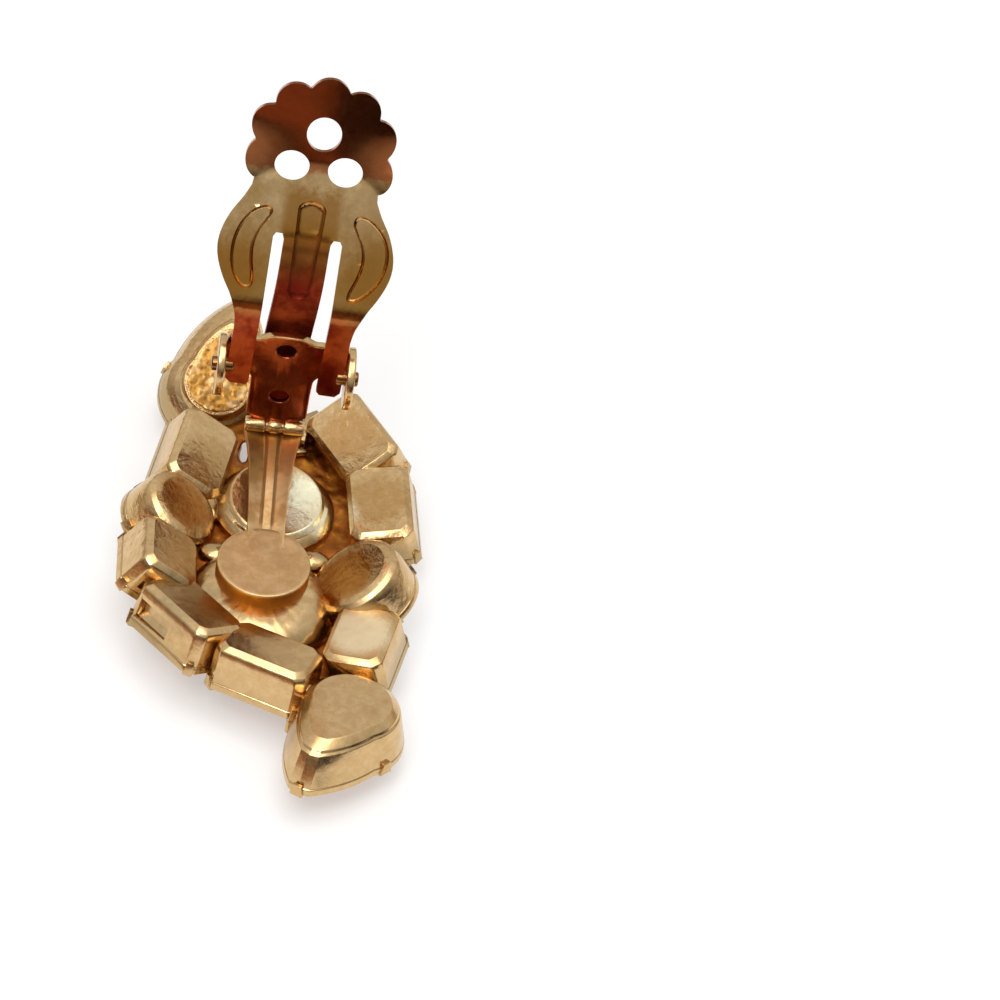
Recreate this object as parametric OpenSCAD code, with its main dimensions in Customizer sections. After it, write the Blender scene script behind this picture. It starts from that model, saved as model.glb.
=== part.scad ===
// Clip-on earring of soldered stone cups, lying on its stones with the clip swung open.
// The origin is on the table of the lower large round stone, where the earring rests, and lies
// straight under the middle of the clip's pad.
// +Z is up, out of the earring's back, and +Y runs along the clip's stem towards the hinge.

/* [Cups] */
// Length of a cut-corner cup at its mouth
octagon_l = 6.2; // [5.8:0.1:6.4]
// Width of a cut-corner cup at its mouth
octagon_w = 4.2; // [3.9:0.1:4.4]
// Diameter of the left round cup at its mouth
left_round_d = 5.5; // [5.1:0.1:5.7]
// Diameter of the right round cup at its mouth
right_round_d = 6.1; // [5.7:0.1:6.3]
// Diameter of a large round cup at its mouth
large_round_d = 8; // [7.8:0.1:8.1]
// Length of the small pear cup at its mouth
small_pear_l = 9.8; // [9.4:0.1:10.2]
// Width of the small pear cup at its mouth
small_pear_w = 6.9; // [6.6:0.1:7.2]
// Length of the large pear cup at its mouth
large_pear_l = 11; // [10.6:0.1:11.2]
// Width of the large pear cup at its mouth
large_pear_w = 6.8; // [6.6:0.1:7.2]
// Thickness of the solder that joins the cups
solder_t = 1.3; // [1:0.1:1.6]

/* [Stones] */
// Gap between a stone and its cup
stone_gap = 0.06; // [0.04:0.01:0.08]
// Height of a stone's crown over its girdle
crown_h = 1; // [0.8:0.05:1.1]
// Table's share of a stone's width
table_share = 0.58; // [0.5:0.02:0.66]

/* [Clip base] */
// Diameter of the pad that is soldered to the cups
pad_d = 5.6; // [5.2:0.1:6]
// Height of the pad's top over the resting surface
pad_top = 5.6; // [5.4:0.1:5.7]
// Thickness of the clip base's sheet
base_t = 0.4; // [0.36:0.02:0.44]
// Width of the stem where it leaves the pad
stem_w_low = 2.2; // [2:0.1:2.6]
// Width of the stem at its bend
stem_w_high = 3.6; // [3.4:0.1:3.6]
// Diameter of the two holes in the hinge plate
plate_hole_d = 1.2; // [1:0.1:1.4]

/* [Paddle] */
// Thickness of the paddle's sheet
paddle_t = 0.45; // [0.4:0.01:0.5]
// Slope of the open paddle over the resting surface
paddle_angle = 50.5; // [48:0.5:54]
// Slope of the paddle's legs at their pins
leg_angle = 86; // [70:1:88]
// How much steeper the paddle's head stands than its body
head_bend = 16.5; // [8:0.5:20]
// Sideways lean of the paddle, as worn in
paddle_lean = 2; // [0:0.5:3]
// Radius of the pins at the paddle's feet
pin_r = 0.45; // [0.4:0.01:0.5]
// Radial clearance of a pin in its ear
pin_clear = 0.05; // [0.03:0.01:0.08]

/* [Hidden] */
$fn = 48;

gold = "goldenrod";
wall_t = 0.3;          // thickness of a cup's wall at its mouth
corner_cut = 0.8;       // how far a cut corner reaches along each side of a mouth
tip_share = 1.8;       // how far a pear's point moves in for each step that its sides do
arc_steps = 9;         // steps round a pear's round end
stone_sides = 12;      // sides of a round stone

// Forms of cup: outline, depth, drop of the shoulder below the back, and how far the shoulder
// and the back lie inside the mouth
OUTLINE = 0; DEPTH = 1; DROP = 2; SHOULDER_IN = 3; BACK_IN = 4;
octagon     = ["octagon", 2.9, 0.6, 0.12, 0.78];
small_round = ["round", 3, 0.7, 0.25, 0.95];
large_round = ["round", 3.4, 0.8, 0.25, 1.28];
small_pear  = ["pear", 3, 0.75, 0.2, 1.5];
large_pear  = ["pear", 2.8, 0.75, 0.25, 1.4];

// Cups: name of the stone, form, length and width at the mouth, middle of the back,
// direction of the long axis, tilt of the cup and the direction that its mouth tilts towards
NAME = 0; FORM = 1; LENGTH = 2; WIDTH = 3; BACK = 4; SPIN = 5; TILT = 6; OUT = 7;
cups = [
    // name                form         length           width            back               spin  tilt  out
    ["stone_pear_large",   large_pear,  large_pear_l,    large_pear_w,    [-3.05, 17.9, 5.3], 78,   26,  103],
    ["stone_octagon_1",    octagon,     octagon_l - 0.2, octagon_w,       [-3.9, 9.8, 4.7],   80,   28,  160],
    ["stone_round_left",   small_round, left_round_d,    left_round_d,    [-4.8, 5.1, 4.6],    0,   35,  178],
    ["stone_octagon_2",    octagon,     octagon_l - 1.3, octagon_w,       [-5.3, 0.6, 5.2],   90,   35,  190],
    ["stone_octagon_3",    octagon,     octagon_l,       octagon_w,       [-3.8, -3.4, 5.1],  130,   23,  235],
    ["stone_octagon_4",    octagon,     octagon_l - 0.3, octagon_w,       [0.85, -6.2, 5],    158,   16,  252],
    ["stone_pear_small",   small_pear,  small_pear_l,    small_pear_w,    [5, -10.7, 4.9],    242,    8,  270],
    ["stone_octagon_5",    octagon,     octagon_l - 0.9, octagon_w - 0.2, [6, -4.1, 4.8],     76,   17,  340],
    ["stone_round_right",  small_round, right_round_d,   right_round_d,   [5.3, 0.7, 4.9],     0,   35,  356],
    ["stone_octagon_6",    octagon,     octagon_l,       octagon_w,       [6.8, 7.1, 4.8],     95,   17,   12],
    ["stone_octagon_7",    octagon,     octagon_l - 0.1, octagon_w,       [4.9, 12.4, 4.9],   123,   27,   38],
    ["stone_round_upper",  large_round, large_round_d,   large_round_d,   [0.6, 7, 4.05],       0,    0,    0],
    ["stone_round_lower",  large_round, large_round_d,   large_round_d,   [0, -1.2, 4.05],      0,    0,    0]
];
ring_cups = 11;        // the first cups of the table, which stand in a ring round the large round ones
solder_drop = 1.9;     // depth of the solder's middle below the backs
solder_low = 2.1;
drawn_size = [0, 0, 0]; // no side is stretched
cup_sides = 16;        // sides of a round cup

// Clip base, in the plane x = 0
bend_y = 10.3;         // middle of the hinge plate's sheet
bend_z = 7.2;          // middle of the bend
pad_h = 1.8;           // reaches down into the lower large round cup
stem_y = 1.6;          // start of the stem, inside the pad
stem_t = 0.7;          // thickness of the stem at the pad
groove_w = 0.5;
groove_t = 0.2;
plate_w = 3.7;
plate_hole_z = [9.4, 12.9];
wing_low = 11.5;
wing_high = 14;
hump_w = 2.6;
hump_z = 14.5;
pivot_y = 8.7;
pivot_z = 13.1;
ear_in = 3.62;         // inner face of an ear
ear_t = 0.48;
ear_r = 1.9;

// Paddle, in its own plane: x across, y up from the pivot
leg_in = 2.05;
leg_out = 3.48;
leg_len = 4;           // length of the steep legs
foot_low = -1;
slot_in = 1.38;
slot_top = 8.4;
neck_y = 11.1;
head_y = 13.4;
fold_low = 13.2;       // where the head starts to stand steeper
fold_len = 0.8;
lobe_r = 1.25;
lobe_ring = 3.22;
lobe_step = 35;
head_hole_r = 1.03;
// Half widths of the body from its feet to its neck: height, half width
body_edge = [
    [foot_low, leg_out], [2.6, leg_out], [3.5, 3.62], [4.4, 4.02], [5.4, 4.62], [6.4, 5.05], [7.3, 5.2],
    [8.2, 5.08], [9.2, 4.7], [10.2, 4.1], [neck_y, 3.66]
];
// Middle of the tongue's sheet where it leaves the body's plane and passes behind the plate: y, z
tongue_end = [
    [11.5, 20.4], [11.2, 18.8], [11.05, 17], [11.05, 15.4], [11.25, 14.2], [11.45, 13.2], [11.6, 11.6],
    [11.6, 8.9]
];
rib_r = 0.56;
rib_low = 8.4;
rib_high = 10.2;
crescent_r = 2.4;
crescent_w = 0.9;
crescent_at = [1.9, 7.4];
crescent_half = 50;
relief_h = 0.22;       // depth of the grooves pressed into the paddle

// A closed solid through rings of the same number of points
function loft_faces(rings, n) = concat(
    [[for (i = [0:n - 1]) i]],
    [for (r = [0:rings - 2], i = [0:n - 1])
        [r * n + i, (r + 1) * n + i, (r + 1) * n + (i + 1) % n, r * n + (i + 1) % n]],
    [[for (i = [n - 1:-1:0]) (rings - 1) * n + i]]
);
module loft(rings) {
    points = [for (ring = rings, p = ring) p];
    polyhedron(points, loft_faces(len(rings), len(rings[0])), convexity = 4);
}
function at_height(ring, z) = [for (p = ring) [p[0], p[1], z]];

// Outlines of cups and stones, drawn a step inside the mouth
function octagon_ring(l, w, step) =
    let (a = l / 2 - step, b = w / 2 - step, cut = corner_cut - step * 0.2)
    [[a, -b + cut], [a, b - cut], [a - cut, b], [-a + cut, b],
     [-a, b - cut], [-a, -b + cut], [-a + cut, -b], [a - cut, -b]];
function round_ring(d, step, n) =
    [for (i = [0:n - 1]) (d / 2 - step) * [cos(i * 360 / n), sin(i * 360 / n)]];
function pear_ring(l, w, step) =
    let (r = w / 2 - step, tip = max(l - w / 2 - step * tip_share, 1.1 * r), side = acos(r / tip),
         start = r * [cos(side), sin(side)], swell = 0.14 * (tip - r),
         mid = (start + [tip, 0]) / 2 + swell * [cos(side), sin(side)],
         middle = (l - w) / 2)
    [for (p = concat(
        [for (i = [0:arc_steps]) r * [cos(side + i * (360 - 2 * side) / arc_steps),
                                      sin(side + i * (360 - 2 * side) / arc_steps)]],
        [[mid[0], -mid[1]], [tip, 0], mid])) p - [middle, 0]];
function ring_of(cup, step, n = stone_sides) =
    cup[FORM][OUTLINE] == "octagon" ? octagon_ring(cup[LENGTH], cup[WIDTH], step)
    : cup[FORM][OUTLINE] == "pear" ? pear_ring(cup[LENGTH], cup[WIDTH], step)
    : round_ring(cup[LENGTH], step, n);

// Puts a cup's own frame in place: the middle of its back at the origin, its mouth downwards
module in_place(cup) {
    translate(cup[BACK])
        rotate(a = cup[TILT], v = [sin(cup[OUT]), -cos(cup[OUT]), 0])
            rotate(cup[SPIN]) children();
}
// The middle of a cup's body at the height of its solder
function heart(cup) = cup[BACK] + solder_drop
    * [cos(cup[OUT]) * sin(cup[TILT]), sin(cup[OUT]) * sin(cup[TILT]), -cos(cup[TILT])];

module cup_body(cup) {
    form = cup[FORM];
    loft([
        at_height(ring_of(cup, 0, cup_sides), -form[DEPTH]),
        at_height(ring_of(cup, form[SHOULDER_IN], cup_sides), -form[DROP]),
        at_height(ring_of(cup, form[BACK_IN], cup_sides), 0)
    ]);
}

// A stone from its table up to its point in its cup's frame: height, step inside the mouth
function stone_steps(cup) =
    let (half = cup[WIDTH] / 2 - wall_t, girdle = -cup[FORM][DEPTH] + 0.35)
    [[girdle - crown_h, wall_t + half * (1 - table_share)],
     [girdle - crown_h * 0.55, wall_t + half * (1 - table_share) * 0.42],
     [girdle, wall_t],
     [girdle + 0.25, wall_t],
     [-cup[FORM][DROP] - 0.35, wall_t + half * 0.72]];

// A stone's form, grown by a gap for the room that it leaves in the metal
module stone(cup, gap = 0) {
    steps = stone_steps(cup);
    lift = [-gap, -gap / 2, 0, 0, gap];
    loft([for (i = [0:4]) at_height(ring_of(cup, steps[i][1] - gap), steps[i][0] + lift[i])]);
}

// One prong: a tab on the outside of the wall that folds over the stone's crown
module prong(depth, width = 0.9) {
    translate([0, width / 2, 0]) rotate([90, 0, 0]) linear_extrude(width)
        polygon([[-0.1, -depth + 0.9], [0.2, -depth + 0.75], [0.2, -depth - 0.15], [-0.55, -depth - 0.4],
            [-0.55, -depth - 0.1], [-0.1, -depth + 0.4]]);
}
// Places of the prongs in the middle of flats round a mouth: x, y, direction
function pear_side(cup) = acos(cup[WIDTH] / 2 / (cup[LENGTH] - cup[WIDTH] / 2));
function pear_step(cup) = (360 - 2 * pear_side(cup)) / arc_steps;
function prong_places(cup) =
    let (l = cup[LENGTH], w = cup[WIDTH], outline = cup[FORM][OUTLINE], flat = 180 / cup_sides)
    outline == "octagon" ? [for (sx = [-1, 1], sy = [-1, 1]) [sx * (l / 2 - 1.65), sy * w / 2, sy * 90]]
    : outline == "round" ? [for (i = [0:3]) let (a = 3 * flat + i * 90)
        [l / 2 * cos(flat) * cos(a), l / 2 * cos(flat) * sin(a), a]]
    : [for (i = [0.5, 3.5, 5.5, 8.5]) let (a = pear_side(cup) + i * pear_step(cup), r = w / 2 * cos(pear_step(cup) / 2))
        [r * cos(a) - (l - w) / 2, r * sin(a), a]];

module prongs(cup) {
    for (p = prong_places(cup)) translate([p[0], p[1], 0]) rotate(p[2]) prong(cup[FORM][DEPTH]);
    if (cup[FORM][OUTLINE] == "pear")
        translate([cup[LENGTH] / 2 - 0.75, 0, 0]) prong(cup[FORM][DEPTH], 0.7);
}

// The solder fills the ring of cups at the height of their hearts
module solder() {
    translate([0, 0, solder_low]) linear_extrude(solder_t)
        polygon([for (i = [0:ring_cups - 1]) [heart(cups[i])[0], heart(cups[i])[1]]]);
}

module cluster() {
    difference() {
        union() {
            for (cup = cups) in_place(cup) {
                cup_body(cup);
                prongs(cup);
            }
            solder();
        }
        for (cup = cups) in_place(cup) stone(cup, stone_gap);
    }
}

// The clip base: pad, stem, bend and hinge plate are one stamping, with its ears folded forwards
stem_rise = atan2(bend_z - base_t / 2 - pad_top, bend_y - stem_y);

module pad() {
    translate([0, 0, pad_top - pad_h]) cylinder(h = pad_h, d = pad_d);
}

module stem() {
    length = (bend_y - stem_y) / cos(stem_rise) - base_t;
    translate([0, stem_y, pad_top - 0.35]) rotate([stem_rise, 0, 0]) difference() {
        rotate([90, 0, 0]) translate([0, 0, -length]) linear_extrude(length)
            translate([-stem_w_high, 0]) square([2 * stem_w_high, stem_t]);
        for (s = [-1, 1]) {
            translate([s * stem_w_low / 2, 0, -1])
                rotate(-s * atan((stem_w_high - stem_w_low) / 2 / length))
                    translate([s < 0 ? -5 : 0, -1, 0]) cube([5, length + 3, 3]);
            translate([s * 0.22, 2, stem_t - groove_t])
                rotate(-s * atan((stem_w_high - stem_w_low) / 3 / length))
                    translate([s < 0 ? -groove_w : 0, 0, 0]) cube([groove_w, length, 1]);
        }
    }
}

module plate_outline() {
    polygon([
        [-plate_w / 2, bend_z - 0.2], [plate_w / 2, bend_z - 0.2], [plate_w / 2, wing_low - 0.5],
        [plate_w / 2 + 0.5, wing_low], [ear_in + 0.1, wing_low], [ear_in + 0.1, wing_high],
        [hump_w / 2 + 0.6, wing_high], [hump_w / 2, hump_z - 0.1], [hump_w / 2 - 0.4, hump_z],
        [-hump_w / 2 + 0.4, hump_z], [-hump_w / 2, hump_z - 0.1], [-hump_w / 2 - 0.6, wing_high],
        [-ear_in - 0.1, wing_high], [-ear_in - 0.1, wing_low], [-plate_w / 2 - 0.5, wing_low],
        [-plate_w / 2, wing_low - 0.5]
    ]);
}

module hinge_plate() {
    difference() {
        translate([0, bend_y + base_t / 2, 0]) rotate([90, 0, 0]) linear_extrude(base_t) plate_outline();
        for (z = plate_hole_z)
            translate([0, bend_y, z]) rotate([90, 0, 0]) cylinder(h = 3 * base_t, d = plate_hole_d, center = true);
    }
    // the rounded bend
    translate([0.1 - plate_w / 2, bend_y - 0.25, bend_z - 0.05]) rotate([0, 90, 0])
        cylinder(h = plate_w - 0.2, r = 0.46);
}

module ear(side) {
    translate([side < 0 ? -ear_in - ear_t : ear_in, 0, 0]) rotate([90, 0, 90]) linear_extrude(ear_t) difference() {
        union() {
            translate([pivot_y, pivot_z]) circle(ear_r);
            translate([pivot_y, wing_low + 0.1]) square([bend_y + base_t / 2 - pivot_y - 0.02, 2.35]);
        }
        translate([pivot_y, pivot_z]) circle(pin_r + pin_clear);
    }
}

// The cups and the clip base are soldered into one skin, kept at the size they are drawn
module setting() {
    color(gold) resize(drawn_size) {
        cluster();
        pad();
        stem();
        hinge_plate();
        for (side = [-1, 1]) ear(side);
    }
}

// The paddle's front outline, in its own plane
module body_outline() {
    difference() {
        union() {
            polygon(concat(
                [for (e = body_edge) [e[1], e[0]]],
                [for (i = [len(body_edge) - 1:-1:0]) [-body_edge[i][1], body_edge[i][0]]]));
            translate([0, head_y]) circle(lobe_ring + 0.1);
            for (i = [-3:3]) translate([0, head_y]) rotate(i * lobe_step) translate([0, lobe_ring]) circle(lobe_r);
        }
        translate([-leg_in, foot_low - 1]) square([2 * leg_in, slot_top - foot_low + 1]);
        translate([0, head_y + 1.05]) circle(head_hole_r);
        for (s = [-1, 1]) translate([s * 1.6, head_y - 1.05]) circle(head_hole_r);
    }
}

// Side profile of a sheet that follows a path in the y-z plane
function turned(v) = [-v[1], v[0]] / norm(v);
function path_normal(path, i) =
    turned(path[min(i + 1, len(path) - 1)] - path[max(i - 1, 0)]);
function sheet_profile(path, t) = concat(
    [for (i = [0:len(path) - 1]) path[i] + path_normal(path, i) * t / 2],
    [for (i = [len(path) - 1:-1:0]) path[i] - path_normal(path, i) * t / 2]);
module sheet(path, t, half_w) {
    translate([-half_w, 0, 0]) rotate([90, 0, 90]) linear_extrude(2 * half_w) polygon(sheet_profile(path, t));
}
function along(angle, d) = d * [cos(angle), sin(angle)];
pivot = [pivot_y, pivot_z];
function ease(t) = let (c = min(max(t, 0), 1)) c * c * (3 - 2 * c);
// Slope of the sheet at a height: steep legs, a straight body and a head that stands steeper
function slope(y) = paddle_angle + (leg_angle - paddle_angle) * (1 - ease((y - leg_len) / 1.4))
    + head_bend * ease((y - fold_low) / fold_len);
path_step = 0.4;  // length of a step along the bent sheet
path_end = 20;
body_path = [for (i = 0, p = pivot; i * path_step <= path_end;
    p = p + along(slope((i + 0.5) * path_step), path_step), i = i + 1) p];
function body_at(y) = body_path[round(y / path_step)];
// Points of the path where its slope changes, and its ends
function turns(i) = abs(slope((i + 1) * path_step) - slope((i - 1) * path_step)) > 0.1;
paddle_path = concat([pivot + along(leg_angle, foot_low - 0.5)],
    [for (i = [0:len(body_path) - 1]) if (i == 0 || i == len(body_path) - 1 || turns(i)) body_path[i]]);
slot_at = slot_top + 1.2;  // the slots' top ends along the bent sheet
tongue_path = concat([body_at(slot_at + 0.8)], [body_at(slot_at)], tongue_end);
view_angle = paddle_angle + head_bend / 3;

// Puts a shape drawn in the paddle's plane on the open paddle
module on_paddle(angle) {
    translate([0, pivot_y, pivot_z]) rotate([angle, 0, 0]) children();
}

module paddle() {
    color(gold) {
        difference() {
            union() {
                intersection() {
                    sheet(paddle_path, paddle_t, 7);
                    on_paddle(view_angle) translate([0, 0, -6]) linear_extrude(12)
                        rotate(-paddle_lean) body_outline();
                }
                intersection() {
                    sheet(tongue_path, paddle_t, 7);
                    on_paddle(paddle_angle) translate([0, 0, -9]) linear_extrude(18)
                        rotate(-paddle_lean) translate([-slot_in, -3]) square([2 * slot_in, slot_top + 4]);
                }
            }
            // the grooves lie in the straight body's plane
            translate([0, body_at(slot_at)[0], body_at(slot_at)[1]]) rotate([paddle_angle, 0, 0])
                translate([0, -slot_top, 0]) rotate(-paddle_lean) relief();
        }
        for (s = [-1, 1])
            translate([s * (leg_out + ear_in + ear_t - 0.1) / 2, pivot_y, pivot_z]) rotate([0, 90, 0])
                cylinder(h = ear_in + ear_t - leg_out + 0.9, r = pin_r, center = true);
    }
}

// The groove pressed into the tongue and the crescent pressed into each side
module relief() {
    translate([0, 0, paddle_t / 2 - relief_h + rib_r]) rotate([-90, 0, 0])
        translate([0, 0, rib_low]) cylinder(h = rib_high - rib_low, r = rib_r);
    for (s = [0, 1]) mirror([s, 0, 0]) translate([crescent_at[0], crescent_at[1], paddle_t / 2])
        rotate(-crescent_half) rotate_extrude(angle = 2 * crescent_half)
            polygon([[crescent_r - crescent_w / 4, -relief_h], [crescent_r + crescent_w / 4, -relief_h],
                [crescent_r + crescent_w / 2, 0.1], [crescent_r - crescent_w / 2, 0.1]]);
}

module gem(name) {
    for (cup = cups) if (cup[NAME] == name) color("white") in_place(cup) stone(cup);
}

setting();
paddle();
for (cup = cups) gem(cup[NAME]);
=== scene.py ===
# Clip-on earring of soldered stone cups, lying on its stones with the clip swung open.
# Pieces are modelled in millimetres and brought to metres when they are finished.

from bisect import bisect
from math import acos, atan2, cos, hypot, pi, radians, sin, sqrt

import bmesh
import bpy
from mathutils import Matrix, Vector


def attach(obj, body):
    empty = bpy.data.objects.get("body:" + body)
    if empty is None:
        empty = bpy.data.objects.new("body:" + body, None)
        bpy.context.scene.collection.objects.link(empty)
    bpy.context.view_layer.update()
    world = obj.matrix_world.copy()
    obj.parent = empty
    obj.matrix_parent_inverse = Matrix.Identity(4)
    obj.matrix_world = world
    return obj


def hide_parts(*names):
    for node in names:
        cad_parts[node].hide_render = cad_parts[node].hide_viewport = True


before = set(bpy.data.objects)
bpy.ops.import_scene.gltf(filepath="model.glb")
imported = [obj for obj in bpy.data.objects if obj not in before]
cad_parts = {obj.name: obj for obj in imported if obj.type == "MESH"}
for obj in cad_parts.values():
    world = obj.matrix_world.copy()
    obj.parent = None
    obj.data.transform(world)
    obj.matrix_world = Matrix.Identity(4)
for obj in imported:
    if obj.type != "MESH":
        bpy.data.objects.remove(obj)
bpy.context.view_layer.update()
print("frame loaded")

perMetre = 1000
toMetres = Matrix.Scale(1 / perMetre, 4)


# small helpers for edit mode

def clearSelection():
    if bpy.context.object and bpy.context.object.mode != "OBJECT":
        bpy.ops.object.mode_set(mode="OBJECT")
    bpy.ops.object.select_all(action="DESELECT")


def activate(obj):
    clearSelection()
    obj.select_set(True)
    bpy.context.view_layer.objects.active = obj


def editing():
    bpy.ops.object.mode_set(mode="EDIT")


def doneEditing():
    bpy.ops.object.mode_set(mode="OBJECT")


def selectAll():
    bpy.ops.mesh.select_all(action="SELECT")


def pick(kind, test):
    # selects the vertices or faces whose middle and normal pass the test
    bpy.ops.mesh.select_mode(type=kind)
    bpy.ops.mesh.select_all(action="DESELECT")
    mesh = bmesh.from_edit_mesh(bpy.context.object.data)
    for part in mesh.verts if kind == "VERT" else mesh.faces:
        middle = part.co if kind == "VERT" else part.calc_center_median()
        part.select_set(bool(test(middle, part.normal)))
    mesh.select_flush_mode()
    bmesh.update_edit_mesh(bpy.context.object.data)


def extrude(*way):
    bpy.ops.mesh.extrude_region_move(TRANSFORM_OT_translate={"value": way})


def resize(share, middle=(0, 0, 0)):
    bpy.ops.transform.resize(value=share, center_override=middle)


def moveVertices(obj, change):
    # gives every vertex a new place: change(x, y, z) returns the place
    for v in obj.data.vertices:
        v.co = change(*v.co)
    obj.data.update()


def modifier(obj, kind, **settings):
    activate(obj)
    made = obj.modifiers.new(kind.lower(), kind)
    for name, value in settings.items():
        setattr(made, name, value)
    bpy.ops.object.modifier_apply(modifier=made.name)


def bevelEdges(obj, width, segments=2, angle=25):
    modifier(obj, "BEVEL", width=width, segments=segments, limit_method="ANGLE",
             angle_limit=radians(angle), harden_normals=False)


def outwards(obj):
    activate(obj)
    editing()
    selectAll()
    bpy.ops.mesh.remove_doubles(threshold=0.001)
    bpy.ops.mesh.normals_make_consistent(inside=False)
    doneEditing()


def join(objects):
    clearSelection()
    for obj in objects:
        obj.select_set(True)
    bpy.context.view_layer.objects.active = objects[0]
    bpy.ops.object.join()
    return bpy.context.object


def finishPiece(obj, name, finish, angle=32, place=Matrix(), body="earring", node="setting"):
    # brings the piece to its place and to metres, shades it, gives it its finish, hangs it on its body and hides the
    # frame's part it stands for
    obj.data.transform(toMetres @ place)
    obj.name = name
    obj.data.name = name
    activate(obj)
    bpy.ops.object.shade_smooth_by_angle(angle=radians(angle))
    modifier(obj, "WEIGHTED_NORMAL", keep_sharp=True)
    obj.data.materials.clear()
    obj.data.materials.append(finish)
    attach(obj, body)
    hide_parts(node)


def ringObject(points, filled=True):
    # a circle primitive whose vertices are moved onto an outline
    clearSelection()
    bpy.ops.mesh.primitive_circle_add(vertices=len(points), radius=1, fill_type="NGON" if filled else "NOTHING")
    obj = bpy.context.object
    for v, p in zip(obj.data.vertices, points):
        v.co = (p[0], p[1], 0)
    return obj


def sheetObject(points, holes, thickness, holeSides=36):
    # a flat sheet in x-y with its middle at z = 0; a hole is x, y, radius and its height over its width
    obj = ringObject(points, filled=False)
    editing()
    for x, y, radius, squash in holes:
        bpy.ops.mesh.primitive_circle_add(vertices=holeSides, radius=radius, location=(x, y, 0))
        resize((1, squash, 1), (x, y, 0))
    selectAll()
    bpy.ops.mesh.fill(use_beauty=True)
    bpy.ops.transform.translate(value=(0, 0, -thickness / 2))
    extrude(0, 0, thickness)
    selectAll()
    bpy.ops.mesh.normals_make_consistent(inside=False)
    doneEditing()
    return obj


def prismObject(points, way, place=(0, 0, 0)):
    # a filled outline, drawn out along a way
    obj = ringObject(points)
    obj.data.transform(Matrix.Translation(place))
    editing()
    selectAll()
    extrude(*way)
    doneEditing()
    outwards(obj)
    return obj


def shellObject(points, rings, middle=0):
    # an outline taken down ring by ring and closed at both ends; a ring is its share in x and y, and z
    top = rings[0][2]
    obj = ringObject(points, filled=False)
    obj.data.transform(Matrix.Translation((0, 0, top)))
    editing()
    bpy.ops.mesh.select_mode(type="EDGE")
    selectAll()
    for (shareX, shareY, z), (lastX, lastY, lastZ) in zip(rings[1:], rings):
        extrude(0, 0, z - lastZ)
        resize((shareX / lastX, shareY / lastY, 1), (middle, 0, 0))
    bpy.ops.mesh.edge_face_add()
    pick("VERT", lambda c, n: c.z > top - 0.001)
    bpy.ops.mesh.edge_face_add()
    selectAll()
    bpy.ops.mesh.normals_make_consistent(inside=False)
    doneEditing()
    return obj


def block(size, place=(0, 0, 0)):
    clearSelection()
    bpy.ops.mesh.primitive_cube_add(size=1, location=place, scale=size)
    bpy.ops.object.transform_apply(location=True, scale=True)
    return bpy.context.object


def rod(sides, radius, length, place, turn=0):
    # upright, or along x with a quarter turn
    clearSelection()
    bpy.ops.mesh.primitive_cylinder_add(vertices=sides, radius=radius, depth=length, location=place,
                                        rotation=(0, turn, 0))
    bpy.ops.object.transform_apply(location=True, rotation=True)
    return bpy.context.object


def cutAcross(obj, places, axis):
    # flat cuts through the whole mesh at the given places along an axis
    activate(obj)
    editing()
    for place in places:
        selectAll()
        bpy.ops.mesh.bisect(plane_co=tuple(place * a for a in axis), plane_no=axis)
    doneEditing()


def subtract(obj, tool):
    modifier(obj, "BOOLEAN", operation="DIFFERENCE", object=tool, solver="EXACT")
    bpy.data.objects.remove(tool)


def roughen(obj, name, scale, strength, cell=None):
    # uneven like solder, after an even remesh where the piece has too few faces
    if cell:
        modifier(obj, "REMESH", mode="VOXEL", voxel_size=cell)
    clouds = bpy.data.textures.new(name, "CLOUDS")
    clouds.noise_scale = scale
    modifier(obj, "DISPLACE", texture=clouds, strength=strength, mid_level=0.5)


def circlePoints(radius, count):
    return [(radius * cos(2 * pi * i / count), radius * sin(2 * pi * i / count)) for i in range(count)]


def smoothLine(points, steps=4):
    # a smooth line through open points
    line = []
    for i in range(len(points) - 1):
        a, b = points[max(i - 1, 0)], points[i]
        c, d = points[i + 1], points[min(i + 2, len(points) - 1)]
        for s in range(steps):
            t = s / steps
            line.append(tuple(
                0.5 * (2 * q + (r - p) * t + (2 * p - 5 * q + 4 * r - w) * t * t + (3 * q - p - 3 * r + w) * t ** 3)
                for p, q, r, w in zip(a, b, c, d)))
    line.append(points[-1])
    return line


def rounded(points, rounds=2):
    # cuts the corners of a closed outline
    for _ in range(rounds):
        points = [p for a, b in zip(points, points[1:] + points[:1])
                  for p in ((a[0] * .75 + b[0] * .25, a[1] * .75 + b[1] * .25),
                            (a[0] * .25 + b[0] * .75, a[1] * .25 + b[1] * .75))]
    return points


# finishes

class Wire:
    # a socket whose shader maths reads as an expression
    def __init__(self, nodes, socket):
        self.nodes, self.socket = nodes, socket

    def math(self, operation, other, swapped=False):
        pair = (other, self) if swapped else (self, other)
        return self.nodes.node("ShaderNodeMath", {"operation": operation}, {0: pair[0], 1: pair[1]})

    def __add__(self, other): return self.math("ADD", other)
    def __radd__(self, other): return self.math("ADD", other, True)
    def __sub__(self, other): return self.math("SUBTRACT", other)
    def __rsub__(self, other): return self.math("SUBTRACT", other, True)
    def __mul__(self, other): return self.math("MULTIPLY", other)
    def __rmul__(self, other): return self.math("MULTIPLY", other, True)
    def __abs__(self): return self.nodes.node("ShaderNodeMath", {"operation": "ABSOLUTE"}, {0: self})


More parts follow.
